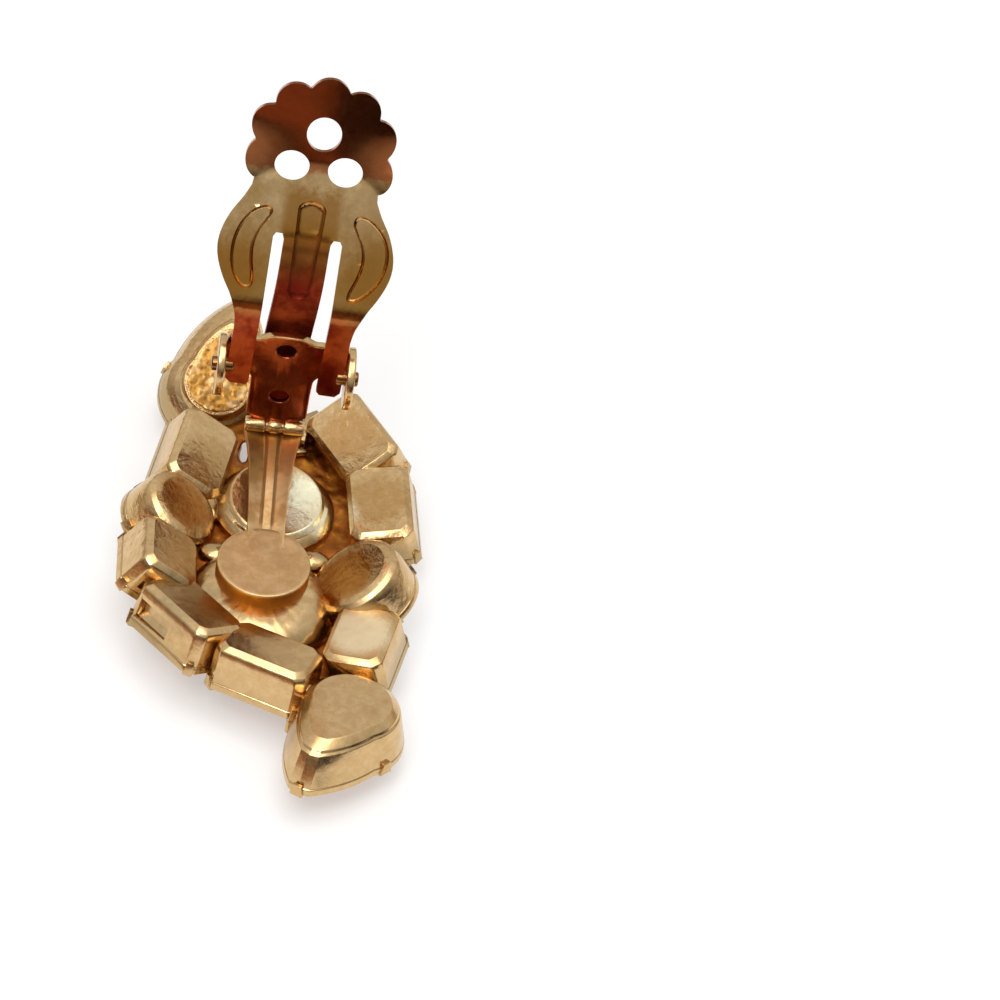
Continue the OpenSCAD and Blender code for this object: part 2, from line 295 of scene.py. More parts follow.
class Nodes:
    # the nodes of a material or of the world, all made by one method
    def __init__(self, owner):
        owner.use_nodes = True
        self.tree = owner.node_tree

    def give(self, socket, value):
        # links a wire to a socket, or sets the socket's own value
        if isinstance(value, Wire):
            self.tree.links.new(value.socket, socket)
        elif isinstance(value, tuple) and len(value) == 3 and len(socket.default_value) == 4:
            socket.default_value = (*value, 1)
        else:
            socket.default_value = value

    def node(self, kind, settings=None, values=None, out=0):
        made = self.tree.nodes.new(kind)
        for name, value in (settings or {}).items():
            if name == "stops":
                ramp = made.color_ramp
                ramp.interpolation = "EASE"
                for stop in value[1:-1]:
                    ramp.elements.new(stop[0])
                for element, (at, tone) in zip(ramp.elements, value):
                    element.position, element.color = at, (*tone, 1)
            else:
                setattr(made, name, value)
        for name, value in (values or {}).items():
            self.give(made.inputs[name], value)
        return Wire(self, made.outputs[out])

    def spread(self, value, low, high):
        # 0 at low, 1 at high
        return self.node("ShaderNodeMapRange", {"interpolation_type": "SMOOTHSTEP"},
                         {"Value": value, "From Min": low, "From Max": high}, out="Result")

    def mix(self, share, first, second):
        return self.node("ShaderNodeMix", {"data_type": "RGBA"}, {0: share, 6: first, 7: second}, out=2)

    def axes(self):
        return [self.node("ShaderNodeSeparateXYZ", None, {0: self.place}, out=axis) for axis in "XYZ"]


class Finish(Nodes):
    # one material; its noises count in millimetres
    def __init__(self, name):
        self.material = bpy.data.materials.new(name)
        super().__init__(self.material)
        self.shader = self.tree.nodes["Principled BSDF"]
        where = self.node("ShaderNodeTexCoord", out="Object")
        self.place = self.node("ShaderNodeMapping", None, {"Vector": where, "Scale": (perMetre,) * 3}, out="Vector")

    def noise(self, scale, detail=3, roughness=0.55, shift=(0, 0, 0), distortion=0):
        place = self.node("ShaderNodeVectorMath", {"operation": "ADD"}, {0: self.place, 1: shift})
        return self.node("ShaderNodeTexNoise", None, {"Vector": place, "Scale": scale, "Detail": detail,
                                                      "Roughness": roughness, "Distortion": distortion}, out="Fac")

    def around(self, middle, inner, outer, waver=None):
        # 1 near a point and 0 beyond outer; waver makes the edge uneven
        away = self.node("ShaderNodeVectorMath", {"operation": "DISTANCE"}, {0: self.place, 1: middle}, out="Value")
        return 1 - self.spread(away + waver if waver else away, inner, outer)

    def set(self, **values):
        for name, value in values.items():
            self.give(self.shader.inputs[name.replace("_", " ")], value)

    def bump(self, height, depth):
        # height from 0 to 1 stands for depth in millimetres
        self.set(Normal=self.node("ShaderNodeBump", None, {"Height": height, "Strength": 1.0,
                                                           "Distance": depth / perMetre}, out="Normal"))


goldTones = {
    "bright": (0.72, 0.50, 0.255), "plain": (0.62, 0.41, 0.185), "worn": (0.46, 0.26, 0.08),
    # olive serves only as a painted reflection on the cups; amber is painted reflection and painted shade on the
    # cups and the pad, and the solder's own tone
    "tarnish": (0.18, 0.07, 0.015), "amber": (0.48, 0.19, 0.025), "olive": (0.36, 0.27, 0.15),
    # pale and cream are painted highlights on the cups, and side is painted shade on their low walls
    "pale": (0.88, 0.76, 0.50), "highlightCream": (0.97, 0.92, 0.66), "side": (0.43, 0.30, 0.145),
    # reflectedRedBrown is a painted reflection on the paddle's head, and ochre is painted shade in its crescents and
    # over its rib
    "brown": (0.41, 0.205, 0.045), "reflectedRedBrown": (0.36, 0.085, 0.022), "shadedOchre": (0.37, 0.16, 0.022),
    # tongue, heated and glow are painted reflections of dark surroundings: on the tongue, and on the legs and the
    # hinge plate
    "tongue": (0.26, 0.1, 0.018), "reflectedDarkRed": (0.19, 0.02, 0.009), "ember": (0.3, 0.09, 0.015),
    "glow": (0.36, 0.07, 0.022),
}
paintedLightPatches = [
    # painted light on the cups: the amber, brown and olive patches are painted reflections of darker surroundings,
    # the cream and pale ones painted highlights, and the tarnish one painted shade low between two cups; middle,
    # reach, tone and share
    ((4.9, 0.4, 4.7), 2.5, "amber", 0.9), ((-4.8, 5.1, 4.6), 2.3, "amber", 0.85),
    ((4.9, 12.4, 4.9), 2.2, "amber", 0.35), ((6.8, 7.1, 4.8), 2.4, "brown", 0.5),
    ((-3.8, -3.4, 5.1), 3.0, "olive", 0.4), ((2.2, 6.8, 4.1), 2.6, "highlightCream", 1.0),
    ((4.3, 6.0, 3.3), 2.2, "pale", 0.8), ((6.0, -4.1, 4.8), 2.2, "pale", 0.9),
    ((-2.6, 17.2, 4.6), 3.6, "amber", 0.4), ((-3.3, 9.2, 4.6), 2.0, "brown", 0.35),
    ((-3.63, -4.79, 3.11), 1.5, "tarnish", 0.7),
]
dullSpot = {"middle": (6.0, -4.1, 4.8), "inner": 1.8, "outer": 2.6, "roughness": 0.25}      # on cupOctagon5
smoothSpot = {"middle": (1.5, 6.8, 4.0), "inner": 2.4, "outer": 4.0, "share": 0.7}          # on cupRoundUpper


def goldFinish(name, dress=None, tarnish=0.35, roughness=0.2, dent=0.05, pits=0.5, shift=(0, 0, 0), duller=None,
               uneven=None):
    # polished gold plate with soft dents, pits and tarnish; dress colours the parts that differ,
    # duller adds to the roughness and uneven to the height
    f = Finish(name)
    f.patches = f.noise(0.45, 4, 0.6, shift)
    f.streaks = f.noise(1.7, 5, 0.65, shift, 0.4)
    specks = f.noise(9, 3, 0.7, shift)
    dents = f.noise(0.5, 2, 0.5, (7, 3, 1))
    ripple = f.noise(2.2, 3, 0.5, (1, 9, 4))
    base = f.mix(f.spread(f.streaks, 0.35, 0.7), goldTones["plain"], goldTones["bright"])
    base = f.mix(f.spread(f.patches, 0.48, 0.72) * tarnish, base, goldTones["worn"])
    if dress:
        base = dress(f, base)
    dots = f.spread(specks, 0.66, 0.76) * pits
    base = f.mix(dots, base, goldTones["tarnish"])
    rough = roughness + (f.streaks - 0.5) * 0.16 + dots * 0.25
    f.set(Base_Color=base, Metallic=1.0, Roughness=rough + duller(f) if duller else rough)
    height = dents + ripple * 0.18 + (1 - dots) * 0.08 + specks * 0.05
    f.bump(height + uneven(f, ripple) if uneven else height, dent)
    return f.material


def cupPaintedLight(f, base):
    x, y, z = f.axes()
    # painted shade: the low walls are painted darker, least on the front cup
    base = f.mix((1 - f.spread(z, 3.2, 4.5)) * (0.2 + 0.65 * f.spread(y, -8.5, -6.0)), base, goldTones["side"])
    for middle, reach, tone, share in paintedLightPatches:
        near = f.around(middle, reach * 0.6, reach, (f.streaks - 0.5) * 1.4)
        base = f.mix(near * share, base, goldTones[tone])
    # painted shade: deep between the cups the gold is painted amber
    deep = (1 - f.spread(z, 2.4, 3.7)) * f.around((1, 4, 2), 5.5, 8.0)
    return f.mix(deep * 0.7, base, goldTones["amber"])


def cupWrinkles(f, ripple):
    # the upper cups are more wrinkled than the lower ones, but for the upper round one
    s = smoothSpot
    creases = f.noise(1.3, 4, 0.6, (4, 4, 8), 0.8)
    smooth = 1 - s["share"] * f.around(s["middle"], s["inner"], s["outer"])
    return (creases * 0.8 + ripple * 0.3) * f.spread(f.axes()[1], -3.5, 2.0) * smooth


def cupDuller(f):
    s = dullSpot
    return f.around(s["middle"], s["inner"], s["outer"]) * s["roughness"]


def padSideReflection(f, base):
    # painted reflection: the side of the pad is painted amber red for the gold it mirrors
    return f.mix(1 - f.spread(f.axes()[2], 5.4, 5.52), base, goldTones["amber"])


def stemBrown(f, base):
    # the stem goes brown towards the bend, and its two grooves are painted darker
    x, y, z = f.axes()
    base = f.mix(f.spread(f.patches, 0.45, 0.6) * 0.5, base, goldTones["brown"])
    base = f.mix(f.spread(y + (f.streaks - 0.5) * 3, 5.0, 9.6) * 0.8, base, goldTones["brown"])
    across = abs(x)
    groove = f.spread(across, 0.2, 0.27) * (1 - f.spread(across, 0.4, 0.5)) * f.spread(y, 2.6, 3.4)
    return f.mix(groove * 0.75, base, goldTones["tarnish"])


def hingeReflection(f, base):
    # painted reflection: the hinge plate is painted dark red all over for the dark surroundings it mirrors
    return f.mix(0.94, base, f.mix(f.spread(f.patches, 0.42, 0.62), goldTones["reflectedDarkRed"], goldTones["glow"]))


paddleShadeHeights = {
    # the heights between which the painted reflections and painted shade on the sheet change, and where the tongue
    # and the crescents are
    "legs": (16.8, 18.6), "body": (19.0, 23.8), "head": (24.0, 24.5), "tongue": (18.0, 20.6),
    "ribsFrom": (20.6, 21.4), "ribsTo": (23.0, 23.8), "rightEdge": (2.6, 5.0),
    "tongueHalf": (1.5, 1.75), "tongueTop": 20.9, "hinge": 13.1, "lean": 0.04,
    "crescents": ((-3.9, 10.7, 19.2), (4.4, 10.7, 19.4)),
}


def tongueMask(f, end):
    # 1 on the tongue, going to 0 at the height of its end, and the distance from its middle line
    h = paddleShadeHeights
    x, y, z = f.axes()
    across = abs(x - (z - h["hinge"]) * h["lean"])
    return (1 - f.spread(across, *h["tongueHalf"])) * (1 - f.spread(z, h["tongueTop"], end)), across


def paddleReflections(f, base):
    # painted reflections of dark surroundings: brown towards the hinge and red at the legs; the tongue reddens from
    # higher up; the head is red-brown
    h = paddleShadeHeights
    x, y, z = f.axes()
    level = z + (f.streaks - 0.5) * 1.2
    tongue, across = tongueMask(f, 22.2)
    red = f.mix(f.spread(f.patches, 0.4, 0.6), goldTones["reflectedDarkRed"], goldTones["glow"])
    base = f.mix((1 - f.spread(level, *h["body"])) * 0.9, base, goldTones["brown"])
    base = f.mix(1 - f.spread(level, *h["legs"]), base, red)
    base = f.mix(tongue * 0.95, base, goldTones["tongue"])
    base = f.mix(tongue * (1 - f.spread(level, *h["tongue"])), base, red)
    # painted shade: ochre over the sunk rib
    ribs = (1 - f.spread(across, 1.3, 2.0)) * f.spread(level, *h["ribsFrom"]) * (1 - f.spread(level, *h["ribsTo"]))
    base = f.mix(ribs * 0.75, base, goldTones["shadedOchre"])
    # painted shade lies brown in the two crescents, and brown is painted down the right edge
    for middle in h["crescents"]:
        base = f.mix(f.around(middle, 1.0, 2.6, (f.streaks - 0.5) * 1.2) * 0.7, base, goldTones["shadedOchre"])
    base = f.mix(f.spread(x + (f.streaks - 0.5) * 2, *h["rightEdge"]) * 0.4, base, goldTones["brown"])
    return f.mix(f.spread(level, *h["head"]) * 0.85, base, goldTones["reflectedRedBrown"])


def tongueDuller(f):
    # the tongue has lost its shine
    return tongueMask(f, 21.6)[0] * 0.3


def solderFinish(name, dark, light, depth):
    # half melted solder, amber and uneven
    f = Finish(name)
    rough = f.noise(1.1, 3, 0.5)
    specks = f.noise(5, 3, 0.6)
    base = f.mix(f.spread(rough, 0.45, 0.65), dark, light)
    base = f.mix(f.spread(specks, 0.52, 0.7) * 0.2, base, goldTones["tarnish"])
    f.set(Base_Color=base, Metallic=1.0, Roughness=0.26 + rough * 0.16)
    f.bump(rough + specks * 0.25, depth)
    return f.material


gold = goldFinish("castGold", cupPaintedLight, roughness=0.22, dent=0.06, duller=cupDuller, uneven=cupWrinkles)
goldSmooth = goldFinish("stampedGold", tarnish=0.2, dent=0.02, pits=0.35)
padGold = goldFinish("padGold", padSideReflection, roughness=0.42, dent=0.02, pits=0.4)
stemGold = goldFinish("stemGold", stemBrown, roughness=0.36, dent=0.05, pits=0.5)
goldRed = goldFinish("hingeGold", hingeReflection, roughness=0.16, dent=0.02, pits=0.25, shift=(3, 0, 0))
paddleGold = goldFinish("paddleGold", paddleReflections, tarnish=0.7, roughness=0.17, dent=0.016, pits=0.7, shift=(5, 2, 0),
                        duller=tongueDuller)
pinBrown = goldFinish("pinBrown", lambda f, base: f.mix(0.9, base, goldTones["tarnish"]), dent=0.01)
solder = solderFinish("solderGrain", goldTones["ember"], goldTones["amber"], 0.05)
pearCoat = solderFinish("pearCoat", goldTones["brown"], goldTones["plain"], 0.04)


def stoneFinish(name, colour):
    # cut glass with a foiled back
    f = Finish(name)
    veil = f.noise(0.8, 3)
    tone = f.mix(f.spread(veil, 0.35, 0.7), colour, tuple(min(1, c * 1.5 + 0.05) for c in colour))
    f.set(Base_Color=tone, Metallic=0.8, Roughness=0.04 + veil * 0.05, IOR=1.6, Coat_Weight=1.0)
    f.bump(f.noise(14, 2), 0.004)
    return f.material


glassTopaz = stoneFinish("glassTopaz", (0.50, 0.20, 0.035))
glassClear = stoneFinish("glassClear", (0.72, 0.70, 0.66))
print("finishes made")


# cups

cupForms = {
    # steps from the back down to the mouth: how far inside the mouth, and height
    "octagon": [(0.5, 0), (0.2, -0.27), (0.13, -0.42), (0.09, -0.74)],
    "roundSmall": [(0.85, 0), (0.45, -0.16), (0.2, -0.4), (0.06, -0.9)],
    "roundLarge": [(1.28, 0), (1.16, -0.06), (1.0, -0.24), (0.75, -0.45), (0.3, -0.9)],
    "pear": [(1.12, 0), (1.05, -0.06), (0.68, -0.36), (0.62, -0.5), (0.5, -0.6), (0.28, -1.5)],
    "pearLong": [(1.3, 0.02), (1.12, -0.22), (1.06, -0.42), (0.78, -0.56), (0.8, -0.72), (0.48, -1.0), (0.3, -1.3),
                 (0.34, -1.5), (0.2, -1.75)],
}
cupDepths = {"octagon": 2.9, "roundSmall": 3.0, "roundLarge": 3.4, "pear": 3.0, "pearLong": 2.8}
cups = [
    # piece, stone, form, length, width, middle of the back, spin, tilt, and the direction it tilts to
    ("cupPearLong", "stone_pear_large", "pearLong", 11.0, 6.8, (-3.05, 17.9, 5.3), 78, 26, 103),
    ("cupOctagon1", "stone_octagon_1", "octagon", 6.0, 4.2, (-3.9, 9.8, 4.7), 80, 28, 160),
    ("cupRoundLeft", "stone_round_left", "roundSmall", 5.5, 5.5, (-4.8, 5.1, 4.6), 0, 35, 178),
    ("cupOctagon2", "stone_octagon_2", "octagon", 4.9, 4.2, (-5.3, 0.6, 5.2), 90, 35, 190),
    ("cupOctagon3", "stone_octagon_3", "octagon", 6.2, 4.2, (-3.8, -3.4, 5.1), 130, 23, 235),
    ("cupOctagon4", "stone_octagon_4", "octagon", 6.0, 4.2, (0.8, -6.2, 5), 158, 16, 252),
    ("cupPearSmall", "stone_pear_small", "pear", 9.8, 6.9, (5, -10.7, 4.9), 242, 8, 270),
    ("cupOctagon5", "stone_octagon_5", "octagon", 5.3, 4.0, (6, -4.1, 4.8), 76, 17, 340),
    ("cupRoundRight", "stone_round_right", "roundSmall", 6.1, 6.1, (5.3, 0.7, 4.9), 0, 35, 356),
    ("cupOctagon6", "stone_octagon_6", "octagon", 6.2, 4.2, (6.8, 7.1, 4.8), 95, 17, 12),
    ("cupOctagon7", "stone_octagon_7", "octagon", 6.1, 4.2, (4.9, 12.4, 4.9), 123, 27, 38),
    ("cupRoundUpper", "stone_round_upper", "roundLarge", 8.0, 8.0, (0.6, 7, 4.05), 0, 0, 0),
    ("cupRoundLower", "stone_round_lower", "roundLarge", 8.0, 8.0, (0, -1.2, 4.05), 0, 0, 0),
]
cupShape = {"wall": 0.24, "lip": 0.75, "seat": 0.34, "cornerCut": 0.52, "cornerRound": 0.14, "bevel": 0.045}
prong = {"thick": 0.24, "height": 0.74, "middle": 0.34, "narrow": 0.6, "wide": 0.8, "bevel": 0.1}


def cupPlace(back, spin, tilt, out):
    axis = Vector((sin(radians(out)), -cos(radians(out)), 0))
    return (Matrix.Translation(back) @ Matrix.Rotation(radians(tilt), 4, axis)
            @ Matrix.Rotation(radians(spin), 4, "Z"))


def mouthOutline(form, length, width):
    a, b = length / 2, width / 2
    if form == "octagon":
        cut = cupShape["cornerCut"]
        corners = [(a, -b + cut), (a, b - cut), (a - cut, b), (-a + cut, b),
                   (-a, b - cut), (-a, -b + cut), (-a + cut, -b), (a - cut, -b)]
        points = []
        for i, p in enumerate(corners):   # each corner is rounded a little
            for other in (corners[i - 1], None, corners[(i + 1) % 8]):
                if other:
                    t = cupShape["cornerRound"] / hypot(other[0] - p[0], other[1] - p[1])
                    points.append((p[0] + (other[0] - p[0]) * t, p[1] + (other[1] - p[1]) * t))
                else:
                    points.append((p[0] * 0.99, p[1] * 0.99))
        return points
    if form.startswith("round"):
        return circlePoints(a, 56)
    tip = length - b                                   # pear: round end, swelling sides, soft point
    side = acos(b / tip)
    start = Vector((b * cos(side), b * sin(side)))
    bend = (start + Vector((tip, 0))) / 2 + 0.3 * (tip - b) * Vector((cos(side), sin(side)))
    flank = []
    for i in range(1, 9):
        t = i / 9.6
        p = start * (1 - t) ** 2 + bend * 2 * t * (1 - t) + Vector((tip, 0)) * t * t
        flank.append((p.x, p.y))
    arc = [(b * cos(side + i * (2 * pi - 2 * side) / 40), b * sin(side + i * (2 * pi - 2 * side) / 40))
           for i in range(41)]
    points = arc + [(x, -y) for x, y in flank] + [(flank[-1][0] + 0.16, 0)] + flank[::-1]
    return [(x - (length - width) / 2, y) for x, y in points]


def prongObject(depth, width):
    # a tab up the outside of the wall, folded over the stone's edge; x is outwards
    obj = block((prong["thick"], width, prong["height"]), (0, 0, -depth + prong["middle"]))
    editing()
    pick("FACE", lambda c, n: n.z < -0.9)
    extrude(-0.2, 0, -0.2)
    resize((1, 0.82, 1))
    extrude(-0.3, 0, -0.06)
    resize((0.6, 0.66, 1), (-0.4, 0, 0))
    pick("FACE", lambda c, n: n.z > 0.9)
    resize((1, 0.7, 1))
    doneEditing()
    bevelEdges(obj, prong["bevel"], 3, 30)
    return obj


def prongPlaces(form, length, width):
    if form == "octagon":   # on the cut corners
        return [(sx * (length / 2 - 0.27), sy * (width / 2 - 0.27), atan2(sy, sx))
                for sx in (-1, 1) for sy in (-1, 1)]
    if form.startswith("round"):
        turns = [radians(33.75 + 90 * i) for i in range(4)]
        return [(length / 2 * cos(a), length / 2 * sin(a), a) for a in turns]
    side = acos(width / 2 / (length - width / 2))
    step = (2 * pi - 2 * side) / 9
    turns = [side + i * step for i in (0.5, 3.5, 5.5, 8.5)]
    round_ = [(width / 2 * cos(a) - (length - width) / 2, width / 2 * sin(a), a) for a in turns]
    return round_ + [(length / 2 - 0.42, 0, 0)]


def makeCup(form, length, width):
    # the wall goes down from the back to the mouth, round its rim, and up inside to the back of the stone
    depth, wall = cupDepths[form], cupShape["wall"]
    pear = form.startswith("pear")
    middle = -(length - width) / 2 if pear else 0
    drop = cupForms[form][-1][1]
    steps = cupForms[form] + [
        (0.05, -depth + 0.5), (0.08, -depth + 0.45), (0.02, -depth + 0.4), (0, -depth), (wall, -depth),
        (wall, -depth + cupShape["lip"]), (0.3 + (width / 2 - 0.3) * 0.5, drop - cupShape["seat"])]
    rings = []
    for inset, height in steps:
        across = (width / 2 - inset) / (width / 2)
        rings.append((across if pear else (length / 2 - inset) / (length / 2), across, height))
    shareX, shareY = rings[0][:2]
    outline = [((x - middle) * shareX + middle, y * shareY) for x, y in mouthOutline(form, length, width)]
    return shellObject(outline, rings, middle)


# walls with a sunk panel: direction in the cup's own frame, width of the frame round it, depth, and where it ends
cupPanels = {"cupOctagon3": ((0, 1), 0.26, 0.5, -0.7), "cupOctagon2": ((-1, 0), 0.3, 0.45, None)}
# backs that aren't quite square to their cup: slope across x and y in the cup's own frame
backTilts = {"cupRoundUpper": (-0.03, 0.13), "cupOctagon5": (0, 0.12), "cupOctagon6": (0, 0.1)}


def sinkPanel(obj, direction, frameWidth, depth, end):
    if end is not None:
        cutAcross(obj, [end], (1, 0, 0))
    activate(obj)
    editing()
    # the faces of one wall, below the shoulder
    pick("FACE", lambda c, n: n.x * direction[0] + n.y * direction[1] > 0.97 and -2.5 < c.z < -0.6
         and (abs(c.y) < 0.3 if end is None else c.x > end))
    bpy.ops.mesh.inset(thickness=frameWidth)
    extrude(-direction[0] * depth, -direction[1] * depth, 0)
    doneEditing()


def tiltBack(obj, slopeX, slopeY):
    # only the back and its shoulder tilt
    moveVertices(obj, lambda x, y, z: Vector((x, y, z + (slopeX * x + slopeY * y) * (z > -0.35))))


pearBack = {"inset": 0.2, "thick": 0.12, "cell": 0.09, "clouds": 0.35, "rough": 0.13,
            "drop": ((0.4, -1.0, 0.05), (1.1, 0.9, 0.35), 30)}


def roughBack(form, length, width):
    # the back of the long pear is coated with rough solder, with a smooth drop on it
    b = pearBack
    middle = -(length - width) / 2
    share = (width / 2 - cupForms[form][0][0] - b["inset"]) / (width / 2)
    outline = [((x - middle) * share + middle, y * share) for x, y in mouthOutline(form, length, width)]
    obj = prismObject(outline, (0, 0, b["thick"]))
    roughen(obj, "backClouds", b["clouds"], b["rough"], b["cell"])
    return join([obj, makeLump(*b["drop"])])


def makeLump(place, size, turn):
    clearSelection()
    bpy.ops.mesh.primitive_ico_sphere_add(subdivisions=4, radius=1)
    obj = bpy.context.object
    obj.data.transform(Matrix.Translation(place) @ Matrix.Rotation(radians(turn), 4, "Z")
                       @ Matrix.Diagonal((*size, 1)))
    return obj


def makeCups():
    for name, stone, form, length, width, back, spin, tilt, out in cups:
        shell = makeCup(form, length, width)
        if name in cupPanels:
            sinkPanel(shell, *cupPanels[name])
        if name in backTilts:
            tiltBack(shell, *backTilts[name])
        bevelEdges(shell, cupShape["bevel"], 2, 20)
        parts = [shell]
        tab = prongObject(cupDepths[form], prong["narrow" if form == "octagon" else "wide"])
        for x, y, turn in prongPlaces(form, length, width):
            copy = tab.copy()
            copy.data = tab.data.copy()
            bpy.context.collection.objects.link(copy)
            copy.data.transform(Matrix.Translation((x, y, 0)) @ Matrix.Rotation(turn, 4, "Z"))
            parts.append(copy)
        bpy.data.objects.remove(tab)
        place = cupPlace(back, spin, tilt, out)
        finishPiece(join(parts), name, gold, 24, place)
        if form == "pearLong":
            finishPiece(roughBack(form, length, width), "pearLongBack", pearCoat, 60, place)


makeCups()
print("cups made")


# solder between the cups

solderSheet = {"low": 1.7, "thickness": 1.0, "drop": 1.9, "clouds": 1.6, "roughness": 0.4, "cell": 0.16}
# the gap between three cups and the stem runs along the line of sight through the sheet
solderGap = {"middle": (-1.52, 12.0, 2.7), "half": (0.24, 1.05), "above": 1.2, "length": 4.4}
viewLine = Vector((0.1116, 0.7045, -0.7009))


def heart(cup):
    back, tilt, out = cup[5], radians(cup[7]), radians(cup[8])
    return Vector(back) + solderSheet["drop"] * Vector((cos(out) * sin(tilt), sin(out) * sin(tilt), -cos(tilt)))


def makeSolderSheet():
    s, g = solderSheet, solderGap
    obj = prismObject([heart(cup)[:2] for cup in cups[:11]], (0, 0, s["thickness"]), (0, 0, s["low"]))
    hx, hy = g["half"]
    gap = prismObject(rounded([(-hx, -hy), (hx, -hy), (hx, hy), (-hx, hy)]), viewLine * g["length"],
                      Vector(g["middle"]) - viewLine * g["above"])
    subtract(obj, gap)
    roughen(obj, "solderClouds", s["clouds"], s["roughness"], s["cell"])
    finishPiece(obj, "solderSheet", solder, 60)


solderLumps = [
    # place, size in x y z, turn: fillets of solder where cups meet
    ((-4.7, 7.5, 3.4), (1.3, 0.5, 0.5), 170), ((-5.9, 2.7, 3.5), (1.2, 0.45, 0.5), 185),
    ((-5.0, -1.6, 3.7), (1.1, 0.45, 0.5), 200), ((-1.9, -5.4, 3.7), (0.6, 1.1, 0.5), 20),
    ((2.9, -8.0, 3.6), (0.6, 1.1, 0.6), 25), ((5.9, -7.0, 3.4), (1.2, 0.5, 0.5), 10),
    ((6.3, -1.9, 3.4), (1.2, 0.5, 0.5), 350), ((6.4, 3.9, 3.3), (1.2, 0.6, 0.5), 10),
    ((6.2, 10.0, 3.4), (1.2, 0.5, 0.5), 15), ((-3.3, 7.0, 2.9), (0.6, 1.5, 0.5), 10),
    ((3.1, 3.0, 2.9), (1.1, 0.8, 0.6), 0), ((-2.7, 2.8, 2.9), (1.1, 0.8, 0.6), 0),
]
# solder run up round the lower large round cup: radius and height from the top down
collar = {"middle": (0.0, -1.2),
          "profile": [(2.5, 4.5), (3.0, 4.35), (3.5, 4.1), (4.1, 3.7), (4.5, 3.1), (4.8, 1.9), (2.5, 1.9)]}
# solder that stays low under the upper one
patch = {"middle": (0.8, 6.9, 1.9), "radius": 2.5}
strips = [
    # folded scraps of sheet beside the hinge plate: middle, length width height, turn and slope
    ((2.2, 13.9, 3.0), (2.1, 0.5, 1.2), 80, -6), ((3.0, 14.7, 2.8), (2.2, 0.36, 1.0), 64, 8),
    ((2.6, 15.4, 2.7), (1.5, 0.9, 0.8), 40, 5), ((2.0, 12.4, 2.9), (0.8, 0.5, 0.4), 20, 5),
]


def makePatch():
    obj = ringObject(circlePoints(patch["radius"], 96))
    obj.data.transform(Matrix.Translation(patch["middle"]))
    modifier(obj, "SUBSURF", levels=1, render_levels=1)
    return obj


def makeCollar():
    rings = [(r, r, z) for r, z in collar["profile"]]
    obj = shellObject(circlePoints(rings[0][0], 96), rings)
    obj.data.transform(Matrix.Translation((*collar["middle"], 0)))
    modifier(obj, "SUBSURF", levels=1, render_levels=1)
    return obj


def makeStrip(place, size, turn, slope):
    obj = block(size)
    bevelEdges(obj, 0.1, 3, 40)
    obj.data.transform(Matrix.Translation(place) @ Matrix.Rotation(radians(turn), 4, "Z")
                       @ Matrix.Rotation(radians(slope), 4, "Y"))
    return obj


def makeSolderLumps():
    obj = join([makeLump(*lump) for lump in solderLumps] + [makePatch(), makeCollar()])
    roughen(obj, "lumpClouds", 0.8, 0.16)
    finishPiece(obj, "solderLumps", gold, 60)
    finishPiece(join([makeStrip(*strip) for strip in strips]), "foldedStrips", gold, 40)


makeSolderSheet()
makeSolderLumps()
print("solder made")


# clip base

pad = {"radius": 2.8, "top": 5.6, "low": 3.9, "rings": ((0.3, 0.02), (1.2, 0.03)), "bevel": 0.09}
stem = {"start": 1.6, "thick": 0.7, "widthLow": 2.2, "widthHigh": 3.6, "edges": (0.21, 0.33, 0.86), "groove": 0.22,
        "flank": 0.08, "foot": 0.3}
plate = {"y": 10.3, "low": 7.2, "sheet": 0.4, "half": 1.85, "wing": 3.74, "wingLow": 11.5, "wingHigh": 14.0,
         "humpTop": 14.5, "holes": (9.6, 13.35), "holeRadius": 0.6, "holeSquash": 0.85, "bow": 0.1, "bowHalf": 1.9}
stemBend = {"radius": 0.46, "back": 0.25, "down": 0.05, "folds": (0.3, 0.5, 0.62), "pinch": 0.7}
earShape = {"inner": 3.62, "thick": 0.48, "radius": 1.9, "hole": 0.5, "root": (11.65, 13.9), "turn": (28, 296)}
pivot = Vector((0, 8.7, 13.1))


def makePad():
    obj = rod(72, pad["radius"], pad["top"] - pad["low"], (0, 0, (pad["top"] + pad["low"]) / 2))
    editing()
    pick("FACE", lambda p, n: n.z > 0.9)
    for inset, sink in pad["rings"]:
        bpy.ops.mesh.inset(thickness=inset)
        bpy.ops.transform.translate(value=(0, 0, -sink))
    doneEditing()
    bevelEdges(obj, pad["bevel"], 3, 40)
    finishPiece(obj, "clipPad", padGold, 40)


